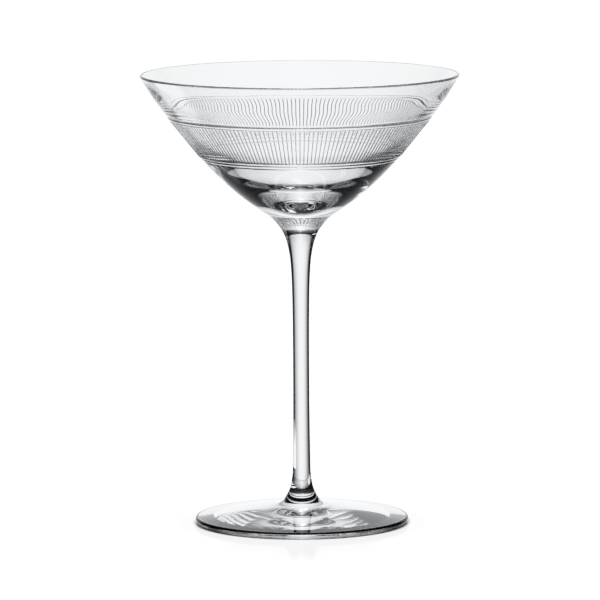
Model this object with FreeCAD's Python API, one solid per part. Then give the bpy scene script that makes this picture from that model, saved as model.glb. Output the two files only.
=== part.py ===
import FreeCAD, Part
import os
import math

# Martini glass: a blown conical bowl with a cut band, a drawn stem and a
# round foot, fused together at two joints. Millimetres, +Z up, origin on the
# table at the centre of the foot.

os.makedirs("parts", exist_ok=True)

# ---------------------------------------------------------------- dimensions
RIM_R = 60.0            # outer radius at the rim
HEIGHT = 170.3          # table to rim
RIM_ROUND = 0.58        # half thickness of the fire-polished rim

BOWL_JOINT_Z = 110.0    # plane where bowl and stem are fused
BOWL_JOINT_R = 6.35     # radius there
FOOT_JOINT_Z = 8.0      # plane where stem and foot are fused
FOOT_JOINT_R = 7.45     # radius there

FOOT_R = 40.35          # widest radius of the foot
FOOT_WIDEST_Z = 1.45
FOOT_EDGE_TOP = 2.5     # height of the foot just inside its edge
REST_R_IN = 33.0        # flat ring that the glass stands on
REST_R_OUT = 39.2
FOOT_HOLLOW = 1.0       # rise of the underside at its centre

STEM_R = 3.05           # thinnest radius of the stem

# cut band: fine upright flutes between two pairs of turned lines
BAND_Z0 = 140.0         # lower end of the flutes
BAND_Z1 = 153.2         # upper end of the flutes
BAND_R0 = 38.45         # ridge radius at the lower end of the flutes
BAND_R1 = 49.05         # ridge radius at the upper end
FLUTES = 180
FLUTE_DEPTH = 0.15

# turned lines below and above the flutes: (r, z) from low to high, each with
# the depth of the arc up to the next point (a groove, or a bead if negative)
LOW_LINES = [((36.15, 137.6), 0.17), ((36.80, 138.3), -0.06),
             ((37.40, 138.9), 0.12), ((37.90, 139.4), -0.05)]
TOP_LINES = [((BAND_R1, BAND_Z1), 0.10), ((49.46, 153.75), -0.06),
             ((49.85, 154.25), 0.30)]
LINES_TOP = (50.75, 155.6)      # where the plain upper wall starts

# outer outline of the bowl below and above the cut band, as (r, z)
LOWER_OUT = [(BOWL_JOINT_R, BOWL_JOINT_Z), (6.95, 111.2), (8.25, 113.0),
             (10.40, 115.5), (13.60, 118.0), (17.95, 121.0), (21.95, 124.0),
             (26.70, 128.0), (30.90, 132.0), (34.75, 136.0), LOW_LINES[0][0]]
UPPER_OUT = [LINES_TOP, (52.45, 158.0), (55.35, 162.0),
             (57.85, 166.0)]

# inside of the bowl, from the rim to the middle of the bottom
INNER = [(56.40, 166.0), (53.57, 162.0), (50.38, 158.0), (47.90, 155.0),
         (43.25, 149.6), (38.20, 144.0), (35.00, 141.02), (31.00, 137.29),
         (27.00, 133.78), (23.00, 130.99), (19.00, 128.74), (15.00, 126.79),
         (11.00, 125.11), (7.50, 123.84), (4.00, 122.75), (0.0, 122.2)]

# outline of the stem from the bowl down to the foot
STEM = [(BOWL_JOINT_R, BOWL_JOINT_Z), (5.55, 108.0), (4.72, 105.0),
        (4.16, 102.0), (3.76, 98.5), (3.50, 94.5), (3.32, 90.0), (3.20, 84.0),
        (3.12, 78.0), (3.06, 70.0), (STEM_R, 60.0), (3.06, 50.0),
        (3.12, 40.0), (3.22, 30.0), (3.30, 24.0), (3.42, 19.5), (3.63, 17.0),
        (3.95, 15.0), (4.45, 13.0), (5.25, 11.2), (6.20, 9.6),
        (FOOT_JOINT_R, FOOT_JOINT_Z)]

# top of the foot from the joint to just inside its edge
FOOT_TOP = [(FOOT_JOINT_R, FOOT_JOINT_Z), (8.50, 7.25), (10.20, 6.65),
            (14.00, 5.95), (20.00, 5.05), (28.00, 3.95), (34.50, 3.10),
            (39.20, FOOT_EDGE_TOP)]

AXIS = FreeCAD.Vector(0, 0, 1)
ORIGIN = FreeCAD.Vector(0, 0, 0)


def V(r, z):
    return FreeCAD.Vector(r, 0, z)


def spline(points, t0=None, t1=None):
    """One smooth edge through (r, z) points in the XZ half plane."""
    c = Part.BSplineCurve()
    pts = [V(*p) for p in points]
    if t0 is not None and t1 is not None:
        c.interpolate(Points=pts, InitialTangent=FreeCAD.Vector(t0[0], 0, t0[1]),
                      FinalTangent=FreeCAD.Vector(t1[0], 0, t1[1]))
    else:
        c.interpolate(pts)
    return c.toShape()


def line(a, b):
    return Part.LineSegment(V(*a), V(*b)).toShape()


def arc(a, m, b):
    return Part.Arc(V(*a), V(*m), V(*b)).toShape()


def turned(edges):
    """Solid of revolution of a closed outline in the XZ half plane."""
    wire = Part.Wire(Part.__sortEdges__(edges))
    solid = Part.Face(wire).revolve(ORIGIN, AXIS, 360)
    if solid.Volume < 0:
        solid.reverse()
    return solid


def turned_line(a, b, depth):
    """Shallow round groove, or a bead, turned into the wall from a up to b."""
    mx, mz = (a[0] + b[0]) / 2, (a[1] + b[1]) / 2
    dx, dz = b[0] - a[0], b[1] - a[1]
    n = math.hypot(dx, dz)
    return arc(a, (mx - depth * dz / n, mz + depth * dx / n), b)


def scallops(radius, z):
    """The flutes' cross-section at one height: arcs that meet on the ridges."""
    edges = []
    for i in range(FLUTES):
        a0 = 2 * math.pi * i / FLUTES
        a1 = 2 * math.pi * (i + 0.5) / FLUTES
        a2 = 2 * math.pi * (i + 1) / FLUTES
        rm = radius - FLUTE_DEPTH
        p = [FreeCAD.Vector(r * math.cos(a), r * math.sin(a), z)
             for r, a in ((radius, a0), (rm, a1), (radius, a2))]
        edges.append(Part.Arc(p[0], p[1], p[2]).toShape())
    return edges


def circle_wire(radius, z):
    c = Part.Circle(FreeCAD.Vector(0, 0, z), AXIS, radius)
    return Part.Wire([c.toShape()])


def build_bowl():
    step = 0.06
    low_in = BAND_R0 - FLUTE_DEPTH - step     # inner edge of the lower step
    top_in = BAND_R1 - FLUTE_DEPTH - step     # inner edge of the upper step
    # the rim is a bead that both walls run into smoothly
    lean = math.radians(29.0)
    c = (RIM_R - RIM_ROUND, HEIGHT - RIM_ROUND)
    s, k = RIM_ROUND * math.sin(lean), RIM_ROUND * math.cos(lean)
    along = (math.sin(lean), math.cos(lean))
    rim_out = (c[0] + k, c[1] - s)
    rim_top = (c[0] + s, c[1] + k)
    rim_in = (c[0] - k, c[1] + s)
    outline = [
        line((0, BOWL_JOINT_Z), (BOWL_JOINT_R, BOWL_JOINT_Z)),
        spline(LOWER_OUT),
        spline(UPPER_OUT + [rim_out], (0.72, 1.0), along),
        arc(rim_out, rim_top, rim_in),
        spline([rim_in] + INNER, (-along[0], -along[1]), (-1.0, 0.0)),
    ]
    ends = [q for q, d in LOW_LINES[1:]] + [(low_in, BAND_Z0)]
    for (q, depth), end in zip(LOW_LINES, ends):
        outline.append(turned_line(q, end, depth))
    starts = [(top_in, BAND_Z1)] + [q for q, d in TOP_LINES[1:]]
    for (q, depth), start, end in zip(TOP_LINES, starts, starts[1:] + [LINES_TOP]):
        outline.append(turned_line(start, end, depth))
    faces = [e.revolve(ORIGIN, AXIS, 360) for e in outline]
    lower = scallops(BAND_R0, BAND_Z0)
    upper = scallops(BAND_R1, BAND_Z1)
    for e0, e1 in zip(lower, upper):
        faces.append(Part.makeRuledSurface(e0, e1))
    for edges, radius, z in ((lower, low_in, BAND_Z0), (upper, top_in, BAND_Z1)):
        faces.append(Part.Face([Part.Wire(edges), circle_wire(radius, z)]))
    flat = []
    for f in faces:
        flat.extend(f.Faces)
    shell = Part.makeShell(flat)
    shell.sewShape()
    solid = Part.makeSolid(shell)
    solid.fix(1e-5, 1e-5, 1e-4)         # turns every face outwards
    if solid.Volume < 0:
        solid.reverse()
    return solid


def build_stem():
    return turned([
        line((0, BOWL_JOINT_Z), (BOWL_JOINT_R, BOWL_JOINT_Z)),
        spline(STEM),
        line((FOOT_JOINT_R, FOOT_JOINT_Z), (0, FOOT_JOINT_Z)),
        line((0, FOOT_JOINT_Z), (0, BOWL_JOINT_Z)),
    ])


def build_foot():
    top_in = FOOT_TOP[-1]
    return turned([
        line((0, FOOT_JOINT_Z), (FOOT_JOINT_R, FOOT_JOINT_Z)),
        spline(FOOT_TOP),
        arc(top_in, (FOOT_R - 0.18, FOOT_WIDEST_Z + 0.62), (FOOT_R, FOOT_WIDEST_Z)),
        arc((FOOT_R, FOOT_WIDEST_Z), (FOOT_R - 0.30, 0.50), (REST_R_OUT, 0)),
        line((REST_R_OUT, 0), (REST_R_IN, 0)),
        spline([(REST_R_IN, 0), (REST_R_IN * 0.5, FOOT_HOLLOW * 0.72),
                (0, FOOT_HOLLOW)], (-1.0, 0.09), (-1.0, 0.0)),
        line((0, FOOT_HOLLOW), (0, FOOT_JOINT_Z)),
    ])


PIECES = {"bowl": build_bowl(), "stem": build_stem(), "foot": build_foot()}

for name, solid in PIECES.items():
    solid.exportStep(os.path.join("parts", name + ".step"))
    bb = solid.optimalBoundingBox()
    print(name, "valid", solid.isValid(), "closed", solid.isClosed(),
          "solids", len(solid.Solids), "faces", len(solid.Faces),
          "cm3 %.2f" % (solid.Volume / 1000.0),
          "z %.2f..%.2f" % (bb.ZMin, bb.ZMax), "x %.2f" % bb.XMax)
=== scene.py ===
import bpy
import math
import numpy as np
from mathutils import Matrix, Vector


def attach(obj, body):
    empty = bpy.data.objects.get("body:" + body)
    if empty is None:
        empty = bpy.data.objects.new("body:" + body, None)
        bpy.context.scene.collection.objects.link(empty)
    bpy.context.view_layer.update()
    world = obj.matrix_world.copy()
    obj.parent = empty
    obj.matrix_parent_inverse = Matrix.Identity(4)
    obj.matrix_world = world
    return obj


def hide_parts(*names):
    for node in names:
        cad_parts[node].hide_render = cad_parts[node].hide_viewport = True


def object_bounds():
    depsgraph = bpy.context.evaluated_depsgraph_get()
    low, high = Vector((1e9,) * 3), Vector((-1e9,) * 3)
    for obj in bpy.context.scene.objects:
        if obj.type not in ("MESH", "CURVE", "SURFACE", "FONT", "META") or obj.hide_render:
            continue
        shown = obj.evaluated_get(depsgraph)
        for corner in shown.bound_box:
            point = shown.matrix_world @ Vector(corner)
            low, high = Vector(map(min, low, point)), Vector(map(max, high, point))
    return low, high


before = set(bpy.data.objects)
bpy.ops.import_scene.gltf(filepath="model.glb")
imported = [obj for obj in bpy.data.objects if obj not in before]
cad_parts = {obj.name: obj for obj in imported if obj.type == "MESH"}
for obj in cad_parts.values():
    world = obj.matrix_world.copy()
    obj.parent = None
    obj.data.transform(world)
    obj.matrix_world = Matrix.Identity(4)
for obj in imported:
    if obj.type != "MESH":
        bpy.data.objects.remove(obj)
cad_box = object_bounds()

# ------------------------------------------------------------------ outlines
# millimetres, (r, z), the same glass as the CAD solids
RIM_R, HEIGHT, RIM_ROUND = 60.0, 170.3, 0.58
JOINT_TOP = (6.35, 110.0)
JOINT_LOW = (7.45, 8.0)
BAND_Z0, BAND_Z1 = 140.0, 153.2
BAND_R0, BAND_R1 = 38.45, 49.05
FLUTES, FLUTE_DEPTH = 180, 0.20
# turned lines above and below the flutes: (r, z) from low to high, each with
# the depth of the arc up to the next point (a groove, or a bead if negative)
LOW_LINES = [((36.15, 137.6), 0.17), ((36.80, 138.3), -0.06),
             ((37.40, 138.9), 0.12), ((37.90, 139.4), -0.05)]
TOP_LINES = [((49.05, 153.2), 0.10), ((49.46, 153.75), -0.06),
             ((49.85, 154.25), 0.30)]

LOWER_OUT = [JOINT_TOP, (6.95, 111.2), (8.25, 113.0), (10.40, 115.5),
             (13.60, 118.0), (17.95, 121.0), (21.95, 124.0), (26.70, 128.0),
             (30.90, 132.0), (34.75, 136.0), LOW_LINES[0][0]]
UPPER_OUT = [(50.75, 155.6), (52.45, 158.0), (55.35, 162.0), (57.85, 166.0)]
INNER = [(56.40, 166.0), (53.57, 162.0), (50.38, 158.0), (47.90, 155.0),
         (43.25, 149.6), (38.20, 144.0), (35.00, 141.02), (31.00, 137.29),
         (27.00, 133.78), (23.00, 130.99), (19.00, 128.74), (15.00, 126.79),
         (11.00, 125.11), (7.50, 123.84), (4.00, 122.75), (0.0, 122.2)]
STEM = [JOINT_TOP, (5.55, 108.0), (4.72, 105.0), (4.16, 102.0), (3.76, 98.5),
        (3.50, 94.5), (3.32, 90.0), (3.20, 84.0), (3.12, 78.0), (3.06, 70.0),
        (3.05, 60.0), (3.06, 50.0), (3.12, 40.0), (3.22, 30.0), (3.30, 24.0),
        (3.42, 19.5), (3.63, 17.0), (3.95, 15.0), (4.45, 13.0), (5.25, 11.2),
        (6.20, 9.6), JOINT_LOW]
FOOT_TOP = [JOINT_LOW, (8.50, 7.25), (10.20, 6.65), (14.00, 5.95), (20.00, 5.05),
            (28.00, 3.95), (34.50, 3.10), (39.20, 2.5)]


# ------------------------------------------------------------ curve sampling
def spline(points, n, t0=None, t1=None):
    """n + 1 points on a smooth cubic spline through (r, z) points."""
    p = np.array(points, float)
    h = np.hypot(*(p[1:] - p[:-1]).T)
    t = np.concatenate([[0], np.cumsum(h)])
    m = len(p)
    A = np.zeros((m, m))
    b = np.zeros((m, 2))
    for i in range(1, m - 1):
        A[i, i - 1], A[i, i], A[i, i + 1] = h[i], 2 * (h[i - 1] + h[i]), h[i - 1]
        b[i] = 3 * (h[i] * (p[i] - p[i - 1]) / h[i - 1] + h[i - 1] * (p[i + 1] - p[i]) / h[i])
    for row, tan, j, k in ((0, t0, 0, 1), (m - 1, t1, m - 1, m - 2)):
        if tan is None:
            A[row, j], A[row, k] = 2, 1
            b[row] = 3 * (p[max(j, k)] - p[min(j, k)]) / h[min(j, k)]
        else:
            A[row, j] = 1
            b[row] = np.array(tan) / math.hypot(*tan)
    d = np.linalg.solve(A, b)
    s = np.linspace(0, t[-1], n + 1)
    i = np.clip(np.searchsorted(t, s, side="right") - 1, 0, m - 2)
    u = ((s - t[i]) / h[i])[:, None]
    hh = h[i][:, None]
    return ((2 * u**3 - 3 * u**2 + 1) * p[i] + (u**3 - 2 * u**2 + u) * hh * d[i]
            + (-2 * u**3 + 3 * u**2) * p[i + 1] + (u**3 - u**2) * hh * d[i + 1])


def arc(a, mid, b, n):
    """n + 1 points on the circle through three (r, z) points."""
    (x1, y1), (x2, y2), (x3, y3) = a, mid, b
    d = 2 * (x1 * (y2 - y3) + x2 * (y3 - y1) + x3 * (y1 - y2))
    cx = ((x1**2 + y1**2) * (y2 - y3) + (x2**2 + y2**2) * (y3 - y1) + (x3**2 + y3**2) * (y1 - y2)) / d
    cy = ((x1**2 + y1**2) * (x3 - x2) + (x2**2 + y2**2) * (x1 - x3) + (x3**2 + y3**2) * (x2 - x1)) / d
    r = math.hypot(x1 - cx, y1 - cy)
    a0, am, a1 = (math.atan2(y - cy, x - cx) for x, y in (a, mid, b))
    am = a0 + (am - a0 + math.pi) % (2 * math.pi) - math.pi
    a1 = a0 + (a1 - a0) % (2 * math.pi) if am > a0 else a0 - (a0 - a1) % (2 * math.pi)
    w = np.linspace(a0, a1, n + 1)
    return np.stack([cx + r * np.cos(w), cy + r * np.sin(w)], 1)


def straight(a, b, n=1):
    u = np.linspace(0, 1, n + 1)[:, None]
    return (1 - u) * np.array(a, float) + u * np.array(b, float)


def ring(a, b, depth, n):
    mx, mz = (a[0] + b[0]) / 2, (a[1] + b[1]) / 2
    dx, dz = b[0] - a[0], b[1] - a[1]
    k = math.hypot(dx, dz)
    return arc(a, (mx - depth * dz / k, mz + depth * dx / k), b, n)


# -------------------------------------------------------------- mesh builder
class Lathe:
    """A closed turned mesh made patch by patch, with exact normals at every face corner. Outlines run with the glass on their left."""

    def __init__(self):
        self.v, self.f, self.n, self.mat = [], [], [], []
        self.count = 0
        self.last = None        # vertex row that the next patch starts from

    def add_row(self, xyz):
        ids = np.arange(self.count, self.count + len(xyz))
        self.v.append(np.asarray(xyz, float))
        self.count += len(xyz)
        return ids

    def row(self, r, z, n):
        if r < 1e-6:
            return self.add_row([(0, 0, z)])
        a = 2 * np.pi * np.arange(n) / n
        return self.add_row(np.stack([r * np.cos(a), r * np.sin(a), np.full(n, z)], 1))

    def quads(self, lo, hi, nlo_a, nlo_b, nhi_a, nhi_b, mat):
        """Faces between two closed rows. n*_a: normal at a face's left corner, n*_b: at its right corner."""
        n = max(len(lo), len(hi))
        j = np.arange(n)
        k = (j + 1) % n
        if len(lo) == 1:
            for q in range(n):
                self.f.append((lo[0], hi[k[q]], hi[j[q]]))
                self.n.extend([nlo_a[q], nhi_b[q], nhi_a[q]])
                self.mat.append(mat)
        elif len(hi) == 1:
            for q in range(n):
                self.f.append((lo[j[q]], lo[k[q]], hi[0]))
                self.n.extend([nlo_a[q], nlo_b[q], nhi_a[q]])
                self.mat.append(mat)
        else:
            for q in range(n):
                self.f.append((lo[j[q]], lo[k[q]], hi[k[q]], hi[j[q]]))
                self.n.extend([nlo_a[q], nlo_b[q], nhi_b[q], nhi_a[q]])
                self.mat.append(mat)

    def turned(self, line, n, mat=0, close=None):
        """Patch of revolution along an (r, z) line, joined to the last row. Going up the outside, the glass is on the left."""
        line = np.asarray(line, float)
        seg = line[1:] - line[:-1]
        seg = seg / np.hypot(*seg.T)[:, None]
        tan = np.concatenate([seg[:1], seg[:-1] + seg[1:], seg[-1:]])
        if len(line) > 3:       # one-sided second-order ends
            tan[0] = 1.5 * seg[0] - 0.5 * seg[1]
            tan[-1] = 1.5 * seg[-1] - 0.5 * seg[-2]
        if line[0][0] < 1e-6 and len(line) > 3:
            tan[0] = (np.sign(tan[0][0]), 0)
        if line[-1][0] < 1e-6 and len(line) > 3:
            tan[-1] = (np.sign(tan[-1][0]), 0)
        tan /= np.hypot(*tan.T)[:, None]
        nr, nz = tan[:, 1], -tan[:, 0]          # outward normal
        rows = []
        for i, (r, z) in enumerate(line):
            if i == 0 and self.last is not None:
                rows.append(self.last)
            elif i == len(line) - 1 and close is not None:
                rows.append(close)
            else:
                rows.append(self.row(r, z, n))
        a = 2 * np.pi * np.arange(n) / n
        b = 2 * np.pi * (np.arange(n) + 1) / n
        mid = (a + b) / 2

        def normals(i, ang):
            return np.stack([nr[i] * np.cos(ang), nr[i] * np.sin(ang), np.full(len(ang), nz[i])], 1)
        for i in range(len(line) - 1):
            lo, hi = rows[i], rows[i + 1]
            if len(lo) > 1 and len(hi) > 1 and len(lo) != len(hi):
                self.step(lo, hi, nr[i], nz[i], nr[i + 1], nz[i + 1], mat)
                continue
            la, lb = (normals(i, a), normals(i, b)) if len(lo) > 1 else (normals(i, mid),) * 2
            ha, hb = (normals(i + 1, a), normals(i + 1, b)) if len(hi) > 1 else (normals(i + 1, mid),) * 2
            self.quads(lo, hi, la, lb, ha, hb, mat)
        self.last = rows[-1]
        return rows

    def step(self, lo, hi, nr0, nz0, nr1, nz1, mat):
        """Triangles between a fine and a coarse row of one patch."""
        fine, coarse = (lo, hi) if len(lo) > len(hi) else (hi, lo)
        k = len(fine) // len(coarse)
        up = fine is hi

        def nrm(ang, at_fine):
            r, z = (nr1, nz1) if at_fine == up else (nr0, nz0)
            return (r * math.cos(ang), r * math.sin(ang), z)
        nf, nc = len(fine), len(coarse)
        for j in range(nc):
            ca, cb = 2 * math.pi * j / nc, 2 * math.pi * (j + 1) / nc
            c0, c1 = coarse[j], coarse[(j + 1) % nc]
            half = k // 2
            tris = []
            for q in range(k):
                f0, f1 = fine[j * k + q], fine[(j * k + q + 1) % nf]
                fa, fb = 2 * math.pi * (j * k + q) / nf, 2 * math.pi * (j * k + q + 1) / nf
                c, cang = (c0, ca) if q < half else (c1, cb)
                tris.append([(f0, nrm(fa, True)), (f1, nrm(fb, True)), (c, nrm(cang, False))])
            fm, fmang = fine[j * k + half], 2 * math.pi * (j * k + half) / nf
            tris.append([(c0, nrm(ca, False)), (fm, nrm(fmang, True)), (c1, nrm(cb, False))])
            for t in tris:
                if up:
                    # fine row above: corner order must stay outward
                    t = t[::-1]
                self.f.append(tuple(x[0] for x in t))
                self.n.extend([x[1] for x in t])
                self.mat.append(mat)

    def surface(self, rows_z, radius, n, mat=0):
        """Patch with its own radius(z, angle), joined to the last row; normals from the formula, one-sided at creases."""
        a = 2 * np.pi * np.arange(n) / n
        rows = [self.last] if self.last is not None else []
        for i, z in enumerate(rows_z):
            if i == 0 and self.last is not None:
                continue
            r = radius(np.full(n, z), a)
            rows.append(self.add_row(np.stack([r * np.cos(a), r * np.sin(a), np.full(n, z)], 1)))
        da = 2 * np.pi / n

        def point(z, t):
            r = radius(z, t)
            return np.stack([r * np.cos(t), r * np.sin(t), z], -1)

        def nrm(z, t):
            ez, et = 1e-4, 1e-6
            n_ = np.cross(point(z, t + et) - point(z, t - et), point(z + ez, t) - point(z - ez, t))
            return n_ / np.linalg.norm(n_, axis=1)[:, None]
        for i in range(len(rows_z) - 1):
            z0, z1 = rows_z[i], rows_z[i + 1]
            e = 0.02 * (z1 - z0)
            zl, zh = np.full(n, z0 + e), np.full(n, z1 - e)
            ta, tb = a + 0.02 * da, a + 0.98 * da
            self.quads(rows[i], rows[i + 1], nrm(zl, ta), nrm(zl, tb), nrm(zh, ta), nrm(zh, tb), mat)
        self.last = rows[-1]
        return rows

    def build(self, name, materials):
        v = np.concatenate(self.v) * 0.001
        me = bpy.data.meshes.new(name)
        me.from_pydata(v.tolist(), [], [tuple(int(i) for i in f) for f in self.f])
        me.polygons.foreach_set("material_index", self.mat)
        me.polygons.foreach_set("use_smooth", [True] * len(self.f))
        for m in materials:
            me.materials.append(m)
        nn = np.array(self.n, float)
        nn /= np.linalg.norm(nn, axis=1)[:, None]
        me.normals_split_custom_set(nn.tolist())
        me.update()
        ob = bpy.data.objects.new(name, me)
        bpy.context.scene.collection.objects.link(ob)
        return ob


# ------------------------------------------------------------------ the bowl
def flute_radius(z, t):
    """Outer radius in the cut band: upright flutes that run out at both ends."""
    u = (t * FLUTES / (2 * np.pi)) % 1.0 * 2 - 1
    s = np.clip((z - BAND_Z0) / (BAND_Z1 - BAND_Z0), 0, 1)
    ridge = BAND_R0 + (BAND_R1 - BAND_R0) * s
    run = np.clip(np.minimum(z - BAND_Z0, BAND_Z1 - z) / 0.55, 0, 1)
    depth = FLUTE_DEPTH * np.sqrt(np.clip(1 - (1 - run) ** 2, 0, 1))
    return ridge - depth * (1 - u**8)


def make_bowl(mats):
    n, fine = 360, 1440
    b = Lathe()
    b.turned(straight((0, JOINT_TOP[1]), JOINT_TOP, 2), n, mat=1)
    b.turned(spline(LOWER_OUT, 46), n)
    ends = [p for p, d in LOW_LINES[1:]] + [(BAND_R0, BAND_Z0)]
    for (p, depth), q in zip(LOW_LINES[:-1], ends):
        b.turned(ring(p, q, depth, 6), n)
    lowring = ring(LOW_LINES[-1][0], ends[-1], LOW_LINES[-1][1], 6)
    b.turned(lowring[:-1], n)
    # last strip of the ring ends on the fine row
    a = 2 * np.pi * np.arange(fine) / fine
    top = b.add_row(np.stack([BAND_R0 * np.cos(a), BAND_R0 * np.sin(a), np.full(fine, BAND_Z0)], 1))
    b.turned(lowring[-2:], n, close=top)
    ends = [0, 0.03, 0.10, 0.22, 0.38, 0.55]
    zs = [BAND_Z0 + e for e in ends] + [142.5, 145.5, 148.5, 151.0] + [BAND_Z1 - e for e in ends[::-1]]
    b.surface(zs, flute_radius, fine, mat=2)
    ends = [p for p, d in TOP_LINES[1:]] + [UPPER_OUT[0]]
    topring = ring(TOP_LINES[0][0], ends[0], TOP_LINES[0][1], 6)
    second = b.row(topring[1][0], topring[1][1], n)
    b.turned(topring[:2], n, close=second)
    b.turned(topring[1:], n)
    for (p, depth), q in zip(TOP_LINES[1:], ends[1:]):
        b.turned(ring(p, q, depth, 8), n)
    lean = math.radians(29.0)
    c = (RIM_R - RIM_ROUND, HEIGHT - RIM_ROUND)
    s, k = RIM_ROUND * math.sin(lean), RIM_ROUND * math.cos(lean)
    along = (math.sin(lean), math.cos(lean))
    rim_out, rim_top, rim_in = (c[0] + k, c[1] - s), (c[0] + s, c[1] + k), (c[0] - k, c[1] + s)
    b.turned(spline(UPPER_OUT + [rim_out], 18, (0.72, 1.0), along), n)
    b.turned(arc(rim_out, rim_top, rim_in, 12), n)
    b.turned(spline([rim_in] + INNER, 80, (-along[0], -along[1]), (-1.0, 0.0)), n)
    return b.build("bowl_glass", mats)


def make_stem(mats):
    n = 360
    b = Lathe()
    b.turned(straight((0, JOINT_LOW[1]), JOINT_LOW, 2), n, mat=1)
    b.turned(spline(STEM, 150)[::-1], n)
    b.turned(straight(JOINT_TOP, (0, JOINT_TOP[1]), 2), n, mat=1)
    return b.build("stem_glass", mats)


def make_foot(mats):
    n = 360
    b = Lathe()
    b.turned(spline([(0, 1.0), (16.5, 0.72), (33.0, 0.0)], 40, (1.0, 0.0), (1.0, -0.09)), n)
    b.turned(straight((33.0, 0), (39.2, 0), 2), n)
    b.turned(arc((39.2, 0), (40.05, 0.50), (40.35, 1.45), 8), n)
    b.turned(arc((40.35, 1.45), (40.17, 2.07), FOOT_TOP[-1], 8), n)
    b.turned(spline(FOOT_TOP, 70)[::-1], n)
    b.turned(straight(JOINT_LOW, (0, JOINT_LOW[1]), 2), n, mat=1)
    return b.build("foot_glass", mats)


# ----------------------------------------------------------------- materials
def new_material(name):
    m = bpy.data.materials.new(name)
    m.use_nodes = True
    m.node_tree.nodes.clear()
    out = m.node_tree.nodes.new("ShaderNodeOutputMaterial")
    return m, m.node_tree, out


def glass_material(name, around, along, radial, wave, rough):
    """Clear lead-free crystal. A faint waviness runs round the piece, and the polish varies a little.
    around: waves per radian. along: waves per metre, up the axis or, for radial, out from it. wave: height in metres."""
    m, nt, out = new_material(name)
    N, L = nt.nodes, nt.links
    tc = N.new("ShaderNodeTexCoord")
    sep = N.new("ShaderNodeSeparateXYZ")
    L.new(tc.outputs["Object"], sep.inputs[0])

    def calc(op, *args):
        n = N.new("ShaderNodeMath")
        n.operation = op
        for i, x in enumerate(args):
            if isinstance(x, (int, float)):
                n.inputs[i].default_value = x
            else:
                L.new(x, n.inputs[i])
        return n.outputs[0]
    x, y, z = sep.outputs
    r = calc("MAXIMUM", calc("SQRT", calc("ADD", calc("MULTIPLY", x, x), calc("MULTIPLY", y, y))), 1e-5)
    vec = N.new("ShaderNodeCombineXYZ")
    L.new(calc("MULTIPLY", calc("DIVIDE", x, r), around), vec.inputs[0])
    L.new(calc("MULTIPLY", calc("DIVIDE", y, r), around), vec.inputs[1])
    L.new(calc("MULTIPLY", r if radial else z, along), vec.inputs[2])
    striae = N.new("ShaderNodeTexNoise")
    striae.inputs["Scale"].default_value = 1.0
    striae.inputs["Detail"].default_value = 2.0
    L.new(vec.outputs[0], striae.inputs["Vector"])
    bump = N.new("ShaderNodeBump")
    bump.inputs["Strength"].default_value = 1.0
    bump.inputs["Distance"].default_value = wave
    L.new(striae.outputs[0], bump.inputs["Height"])
    wipe = N.new("ShaderNodeTexNoise")
    wipe.inputs["Scale"].default_value = 70.0
    wipe.inputs["Detail"].default_value = 4.0
    L.new(tc.outputs["Object"], wipe.inputs["Vector"])
    polish = N.new("ShaderNodeMapRange")
    polish.inputs["From Min"].default_value = 0.35
    polish.inputs["From Max"].default_value = 0.75
    polish.inputs["To Min"].default_value = rough[0]
    polish.inputs["To Max"].default_value = rough[1]
    L.new(wipe.outputs[0], polish.inputs["Value"])
    tint = N.new("ShaderNodeValToRGB")
    tint.color_ramp.elements[0].position, tint.color_ramp.elements[0].color = 0.3, (0.982, 0.990, 0.992, 1)
    tint.color_ramp.elements[1].position, tint.color_ramp.elements[1].color = 0.7, (1, 1, 1, 1)
    L.new(striae.outputs[0], tint.inputs[0])
    p = N.new("ShaderNodeBsdfPrincipled")
    p.inputs["Transmission Weight"].default_value = 1.0
    p.inputs["IOR"].default_value = 1.53
    L.new(tint.outputs[0], p.inputs["Base Color"])
    L.new(polish.outputs[0], p.inputs["Roughness"])
    L.new(bump.outputs[0], p.inputs["Normal"])
    L.new(p.outputs[0], out.inputs["Surface"])
    return m


def joint_material():
    m, nt, out = new_material("fused_joint")
    p = nt.nodes.new("ShaderNodeBsdfPrincipled")
    p.inputs["Alpha"].default_value = 0.0
    nt.links.new(p.outputs[0], out.inputs["Surface"])
    return m


joint = joint_material()
blown = glass_material("clear_glass_blown", 3.0, 90.0, False, 0.000003, (0.0, 0.003))
cut = glass_material("clear_glass_cut", 40.0, 60.0, False, 0.0000005, (0.0, 0.003))
drawn = glass_material("clear_glass_drawn", 2.5, 25.0, False, 0.000004, (0.0, 0.012))
pressed = glass_material("clear_glass_foot", 1.6, 260.0, True, 0.000006, (0.0, 0.008))
pieces = {"bowl": make_bowl([blown, joint, cut]), "stem": make_stem([drawn, joint]), "foot": make_foot([pressed, joint])}
for node, piece in pieces.items():
    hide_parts(node)
    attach(piece, "root")

# --------------------------------------------------------------------- stage
def disc(name, r0, r1, z, n=128):
    a = 2 * np.pi * np.arange(n) / n
    if r0 == 0:
        v = [(0, 0, z)] + [(r1 * math.cos(t), r1 * math.sin(t), z) for t in a]
        f = [(0, 1 + i, 1 + (i + 1) % n) for i in range(n)]
    else:
        v = [(r * math.cos(t), r * math.sin(t), z) for r in (r0, r1) for t in a]
        f = [(i, n + i, n + (i + 1) % n, (i + 1) % n) for i in range(n)]
    me = bpy.data.meshes.new(name)
    me.from_pydata(v, [], f)
    ob = bpy.data.objects.new(name, me)
    bpy.context.scene.collection.objects.link(ob)
    return ob


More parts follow.
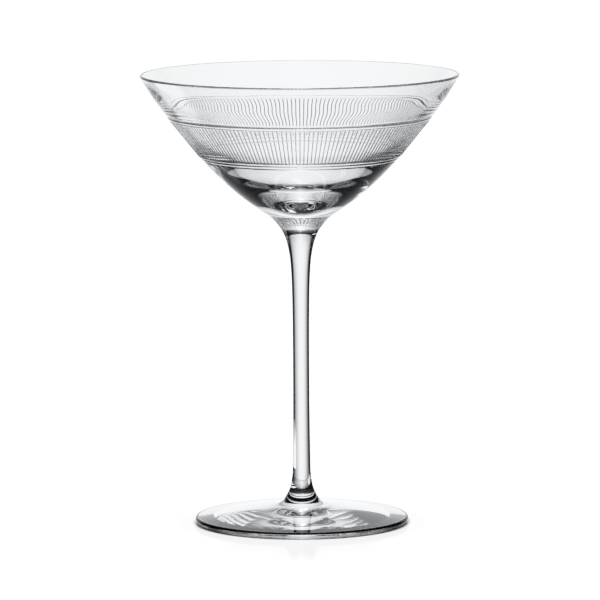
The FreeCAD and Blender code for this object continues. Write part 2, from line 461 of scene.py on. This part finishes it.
def floor_material():
    """Pale gloss acrylic: self-lit, with a painted contact shadow where something touches it (ambient occlusion darkens
    the glow), and a soft mirror image close to the foot: real gloss, shown only where a painted mask puts it, round the
    foot and in a strip in front of it.
    """
    m, nt, out = new_material("pale_floor")
    N, L = nt.nodes, nt.links
    tc = N.new("ShaderNodeTexCoord")
    noise = N.new("ShaderNodeTexNoise")
    noise.inputs["Scale"].default_value = 900.0
    noise.inputs["Detail"].default_value = 3.0
    L.new(tc.outputs["Object"], noise.inputs["Vector"])
    rough = N.new("ShaderNodeMapRange")
    rough.inputs["To Min"].default_value = 0.09
    rough.inputs["To Max"].default_value = 0.15
    L.new(noise.outputs[0], rough.inputs["Value"])
    # painted contact shadow: ambient occlusion darkens the floor's glow where the glass stands on it or comes close
    painted_contact_shadow_ao = N.new("ShaderNodeAmbientOcclusion")
    painted_contact_shadow_ao.samples = 12
    painted_contact_shadow_ao.inputs["Distance"].default_value = 0.0016
    power = N.new("ShaderNodeMath")
    power.operation = "POWER"
    power.inputs[1].default_value = 1.4
    L.new(painted_contact_shadow_ao.outputs["AO"], power.inputs[0])
    lit = N.new("ShaderNodeEmission")
    scale = N.new("ShaderNodeMath")
    scale.operation = "MULTIPLY"
    scale.inputs[1].default_value = 1.06
    L.new(power.outputs[0], scale.inputs[0])
    L.new(scale.outputs[0], lit.inputs["Strength"])
    gloss = N.new("ShaderNodeBsdfGlossy")
    L.new(rough.outputs[0], gloss.inputs["Roughness"])
    sep = N.new("ShaderNodeSeparateXYZ")
    L.new(tc.outputs["Object"], sep.inputs[0])

    def calc(op, *args):
        n = N.new("ShaderNodeMath")
        n.operation = op
        for i, x in enumerate(args):
            if isinstance(x, (int, float)):
                n.inputs[i].default_value = x
            else:
                L.new(x, n.inputs[i])
        return n.outputs[0]

    def soft(value, zero, full):
        n = N.new("ShaderNodeMapRange")
        n.interpolation_type = "SMOOTHSTEP"
        n.inputs["From Min"].default_value = zero
        n.inputs["From Max"].default_value = full
        L.new(value, n.inputs["Value"])
        return n.outputs[0]
    x, y, _ = sep.outputs
    r = calc("SQRT", calc("ADD", calc("MULTIPLY", x, x), calc("MULTIPLY", y, y)))
    # the gloss reflection is real, but a painted mask allows it only in a ring round the foot and a strip in front of
    # it; elsewhere the floor is glow only
    front = calc("MULTIPLY", soft(calc("ABSOLUTE", x), 0.045, 0.022), soft(y, -0.105, -0.060))
    front = calc("MULTIPLY", front, soft(y, 0.0, -0.030))
    fresnel = N.new("ShaderNodeFresnel")
    fresnel.inputs["IOR"].default_value = 1.6
    placed_reflection_mask = calc("MULTIPLY", calc("MAXIMUM", soft(r, 0.058, 0.044), front), fresnel.outputs[0])
    placed_reflection_mask = calc("MULTIPLY", placed_reflection_mask, 0.62)
    mix = N.new("ShaderNodeMixShader")
    L.new(placed_reflection_mask, mix.inputs[0])
    L.new(lit.outputs[0], mix.inputs[1])
    L.new(gloss.outputs[0], mix.inputs[2])
    L.new(mix.outputs[0], out.inputs["Surface"])
    return m


pale = floor_material()
for name, r0, r1 in (("floor_under_glass", 0, 0.046), ("floor", 0.046, 6.0)):
    ground = disc(name, r0, r1, 0.0)
    ground.data.materials.append(pale)
    ground.visible_transmission = False
    ground.visible_glossy = r0 == 0


def low_card(name, az0, az1, radius, z0, z1, light, n=24):
    """A curved lit card that stands round the glass, out of the picture."""
    a = np.radians(np.linspace(az0, az1, n + 1))
    v = [(radius * math.sin(t), radius * math.cos(t), z) for z in (z0, z1) for t in a]
    f = [(i, i + 1, n + 2 + i, n + 1 + i) for i in range(n)]
    me = bpy.data.meshes.new(name)
    me.from_pydata(v, [], f)
    ob = bpy.data.objects.new(name, me)
    bpy.context.scene.collection.objects.link(ob)
    m, nt, out = new_material(name)
    e = nt.nodes.new("ShaderNodeEmission")
    tc = nt.nodes.new("ShaderNodeTexCoord")
    sep = nt.nodes.new("ShaderNodeSeparateXYZ")
    fade = nt.nodes.new("ShaderNodeMapRange")
    fade.inputs["From Min"].default_value = z0 + 0.5 * (z1 - z0)
    fade.inputs["From Max"].default_value = z1
    fade.inputs["To Min"].default_value = light
    fade.inputs["To Max"].default_value = 0.3 * light
    nt.links.new(tc.outputs["Object"], sep.inputs[0])
    nt.links.new(sep.outputs["Z"], fade.inputs["Value"])
    nt.links.new(fade.outputs[0], e.inputs["Strength"])
    nt.links.new(e.outputs[0], out.inputs["Surface"])
    me.materials.append(m)
    ob.visible_camera = False
    ob.visible_diffuse = False
    ob.visible_glossy = False
    ob.visible_shadow = False
    return ob


low_card("card_right", 28, 72, 0.080, 0.003, 0.026, 0.95)

# The studio as a clear object sees it: a plain lit backdrop behind the glass that
# fades to dark surroundings, the same on both sides. level -> (azimuth either way, light).
STUDIO = {
    -75: [(0, .24), (90, .06)],
    -45: [(0, .70), (12, .45), (30, .20), (65, .012)],
    -20: [(0, 1.05), (12, .80), (30, .35), (60, .012)],
    0: [(0, 1.04), (12, .90), (30, .60), (45, .012)],
    20: [(0, .95), (12, .75), (30, .50), (45, .012)],
    45: [(0, .90), (12, .75), (30, .40), (65, .012)],
    75: [(0, .60), (30, .40), (90, .10)],
}
STUDIO = {e: [(-a, v) for a, v in s[:0:-1]] + s for e, s in STUDIO.items()}

CARDS = [(-45, -31, 1.05, 8, 17), (135, -19, 1.05, 13, 26), (-90, -13, .88, 10.5, 13)]


def make_world():
    w = bpy.data.worlds.new("studio")
    bpy.context.scene.world = w
    w.use_nodes = True
    nt = w.node_tree
    nt.nodes.clear()
    N, L = nt.nodes, nt.links
    out = N.new("ShaderNodeOutputWorld")
    bg = N.new("ShaderNodeBackground")
    bg.inputs["Color"].default_value = (0.962, 0.976, 1, 1)
    tc = N.new("ShaderNodeTexCoord")
    sep = N.new("ShaderNodeSeparateXYZ")
    L.new(tc.outputs["Generated"], sep.inputs[0])

    def calc(op, *args):
        n = N.new("ShaderNodeMath")
        n.operation = op
        for i, x in enumerate(args):
            if isinstance(x, (int, float)):
                n.inputs[i].default_value = x
            else:
                L.new(x, n.inputs[i])
        return n.outputs[0]

    def around(stops):
        """Piecewise linear light over the azimuth."""
        n = N.new("ShaderNodeValToRGB")
        e = n.color_ramp.elements
        while len(e) > 1:
            e.remove(e[-1])
        stops = [(-180, stops[0][1])] + stops + [(180, stops[-1][1])]
        for i, (p, v) in enumerate(stops):
            k = e[0] if i == 0 else e.new((p + 180) / 360)
            k.position = (p + 180) / 360
            k.color = (v / 1.2,) * 3 + (1,)
        L.new(az, n.inputs[0])
        return calc("MULTIPLY", n.outputs[0], 1.2)

    def between(a, b):
        """0 below a degrees of elevation, 1 above b."""
        n = N.new("ShaderNodeMapRange")
        n.inputs["From Min"].default_value = a
        n.inputs["From Max"].default_value = b
        L.new(el, n.inputs["Value"])
        return n.outputs[0]

    def window(az0, el0, full, zero):
        """1 within full degrees of a direction, falling to 0 at zero degrees."""
        a, b = math.radians(az0), math.radians(el0)
        n = N.new("ShaderNodeVectorMath")
        n.operation = "DOT_PRODUCT"
        L.new(tc.outputs["Generated"], n.inputs[0])
        n.inputs[1].default_value = (math.cos(b) * math.sin(a), math.cos(b) * math.cos(a), math.sin(b))
        m = N.new("ShaderNodeMapRange")
        m.interpolation_type = "SMOOTHSTEP"
        m.inputs["From Min"].default_value = math.cos(math.radians(zero))
        m.inputs["From Max"].default_value = math.cos(math.radians(full))
        L.new(n.outputs["Value"], m.inputs["Value"])
        return m.outputs[0]

    x, y, z = sep.outputs
    el = calc("MULTIPLY", calc("ARCSINE", z), 180 / math.pi)
    az = calc("MULTIPLY_ADD", calc("ARCTAN2", x, y), 0.5 / math.pi, 0.5)      # 0.5 straight behind
    levels = sorted(STUDIO)
    v = around(STUDIO[levels[0]])
    for a, b in zip(levels, levels[1:]):
        t = between(a, b)
        v = calc("ADD", calc("MULTIPLY", v, calc("SUBTRACT", 1.0, t)), calc("MULTIPLY", around(STUDIO[b]), t))
    # lit cards, so that the glass is clear from the other sides too
    for a, e, light, full, zero in CARDS:
        v = calc("MAXIMUM", v, calc("MULTIPLY", window(a, e, full, zero), light))
    # softbox strip above and behind
    for a, e in ((-9, 47), (-3, 51), (4, 55)):
        v = calc("MAXIMUM", v, calc("MULTIPLY", window(a, e, 2.5, 4.5), 3.0))
    lp = N.new("ShaderNodeLightPath")
    mix = N.new("ShaderNodeMix")
    mix.data_type = "FLOAT"
    L.new(lp.outputs["Is Camera Ray"], mix.inputs[0])
    L.new(v, mix.inputs[2])
    mix.inputs[3].default_value = 1.1
    L.new(mix.outputs[0], bg.inputs["Strength"])
    L.new(bg.outputs[0], out.inputs["Surface"])


make_world()

# -------------------------------------------------------------------- camera
cam = bpy.data.cameras.new("camera")
cam.sensor_width = 36.0
cam.sensor_fit = "HORIZONTAL"
cam.lens = 336.68
cam.clip_start, cam.clip_end = 0.05, 50
cob = bpy.data.objects.new("camera", cam)
bpy.context.scene.collection.objects.link(cob)
cob.matrix_world = (Matrix.Translation((-0.00030, -2.0985, 0.357))
                    @ Matrix.Rotation(math.radians(90 - 7.394), 4, "X")
                    @ Matrix.Rotation(math.radians(-0.3), 4, "Z"))
bpy.context.scene.camera = cob

sc = bpy.context.scene
sc.view_settings.view_transform = "Standard"
sc.view_settings.look = "None"
# a little more contrast, as a studio picture of clear glass has
sc.view_settings.use_curve_mapping = True
grade = sc.view_settings.curve_mapping
for at in ((0.045, 0.026), (0.214, 0.195), (0.523, 0.585), (0.80, 0.88), (0.93, 0.935)):
    grade.curves[3].points.new(*at)
grade.update()
sc.cycles.max_bounces = 32
sc.cycles.transmission_bounces = 32
sc.cycles.glossy_bounces = 32
sc.cycles.transparent_max_bounces = 32

lo, hi = cad_box
